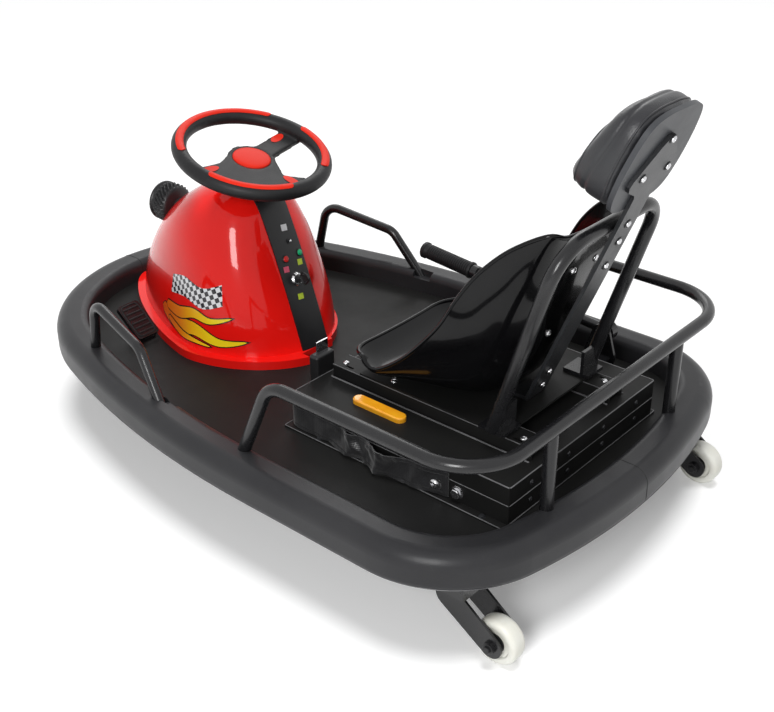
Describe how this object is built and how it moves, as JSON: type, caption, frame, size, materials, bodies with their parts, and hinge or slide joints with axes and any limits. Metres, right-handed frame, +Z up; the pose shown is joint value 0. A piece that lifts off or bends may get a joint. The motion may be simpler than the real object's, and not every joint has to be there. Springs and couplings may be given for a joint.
{
  "type": "electric drift kart",
  "caption": "Three-wheel electric drift kart with an oval bumper ring, one steered drive wheel under a red front shroud, two swivel casters and a bucket seat.",
  "frame": {"origin": "on the floor under the middle of the bumper ring", "axes": "+X forward, +Y to the kart's left, +Z up"},
  "size_m": [1.2498, 0.808, 0.7726],
  "materials": {
    "bumper_plastic": "satin",
    "black_sheet_metal": "satin",
    "black_tube": "satin",
    "red_shroud": "gloss",
    "black_trim": "satin",
    "seat_plastic": "gloss",
    "pad_leatherette": "satin",
    "grey_board": "satin",
    "belt_webbing": "matte",
    "bright_steel": "gloss",
    "wheel_grip_rubber": "satin",
    "red_trim": "satin",
    "tyre_rubber": "matte",
    "motor_aluminium": "satin",
    "white_wheel": "satin",
    "amber_lens": "gloss",
    "clear_lens": "gloss",
    "key_metal": "gloss",
    "battery_case": "satin"
  },
  "bodies": {
    "kart": {"bumper_ring": "bumper_plastic", "deck_plate": "black_sheet_metal", "frame_rail_left": "black_tube", "frame_rail_right": "black_tube", "front_cross_member": "black_tube", "middle_cross_member": "black_tube", "rear_cross_member": "black_tube", "steering_bridge": "black_tube", "front_shroud": "red_shroud", "control_strip": "black_trim", "column_collar": "black_trim", "strip_buttons": "black_trim", "key_switch": "key_metal", "headlamp_housing": "black_trim", "headlamp_lens": "clear_lens", "brake_pedal": "black_tube", "throttle_pedal": "black_tube", "side_guard_left": "black_tube", "side_guard_right": "black_tube", "rear_rail": "black_tube", "seat_box": "black_sheet_metal", "battery": "battery_case", "seat_slide_left": "black_sheet_metal", "seat_slide_right": "black_sheet_metal", "seat_pan_plate": "black_sheet_metal", "seat_shell": "seat_plastic", "seat_hoop": "black_tube", "headrest_strap": "grey_board", "headrest_board": "grey_board", "headrest_pad": "pad_leatherette", "lever_bracket": "black_tube", "side_reflector_left": "amber_lens", "side_reflector_right": "amber_lens", "belt_webbing_left": "belt_webbing", "belt_webbing_right": "belt_webbing", "belt_buckle": "black_trim", "belt_tongue": "bright_steel", "caster_plate_left": "black_tube", "caster_plate_right": "black_tube"},
    "steering_wheel_and_column": {"steering_wheel": "wheel_grip_rubber", "wheel_cap": "red_trim", "wheel_grip_strips": "red_trim", "steering_column": "black_tube"},
    "steered_fork": {"drive_fork": "black_tube"},
    "drive_wheel": {"hub_motor": "motor_aluminium", "drive_tyre": "tyre_rubber"},
    "drift_lever_arm": {"drift_lever": "black_tube", "lever_grip": "wheel_grip_rubber"},
    "left_caster_fork": {"caster_fork_left": "black_tube"},
    "right_caster_fork": {"caster_fork_right": "black_tube"},
    "left_caster_wheel": {"caster_wheel_left": "white_wheel"},
    "right_caster_wheel": {"caster_wheel_right": "white_wheel"}
  },
  "joints": [
    {"name": "steering_wheel_turn", "type": "hinge", "parent": "kart", "child": "steering_wheel_and_column", "pos_m": [0.27, 0, 0.292], "axis": [-0.2588, 0, 0.9659], "range_deg": [-180, 180]},
    {"name": "fork_steer", "type": "hinge", "parent": "kart", "child": "steered_fork", "pos_m": [0.27, 0, 0.2], "axis": [0, 0, 1], "range_deg": [-180, 180]},
    {"name": "drive_wheel_roll", "type": "hinge", "parent": "steered_fork", "child": "drive_wheel", "pos_m": [0.27, 0, 0.1], "axis": [0, 1, 0], "continuous": true},
    {"name": "drift_lever_pull", "type": "hinge", "parent": "kart", "child": "drift_lever_arm", "pos_m": [-0.385, -0.258, 0.252], "axis": [0, -1, 0], "range_deg": [0, 35]},
    {"name": "left_caster_swivel", "type": "hinge", "parent": "kart", "child": "left_caster_fork", "pos_m": [-0.492, 0.3, 0.1], "axis": [0, 0, 1], "continuous": true},
    {"name": "left_caster_roll", "type": "hinge", "parent": "left_caster_fork", "child": "left_caster_wheel", "pos_m": [-0.572, 0.3, 0.0375], "axis": [0, 1, 0], "continuous": true},
    {"name": "right_caster_swivel", "type": "hinge", "parent": "kart", "child": "right_caster_fork", "pos_m": [-0.492, -0.3, 0.1], "axis": [0, 0, 1], "continuous": true},
    {"name": "right_caster_roll", "type": "hinge", "parent": "right_caster_fork", "child": "right_caster_wheel", "pos_m": [-0.572, -0.3, 0.0375], "axis": [0, 1, 0], "continuous": true}
  ],
  "couplings": [
    {"joint": "fork_steer", "follows": "steering_wheel_turn", "ratio": 1}
  ]
}
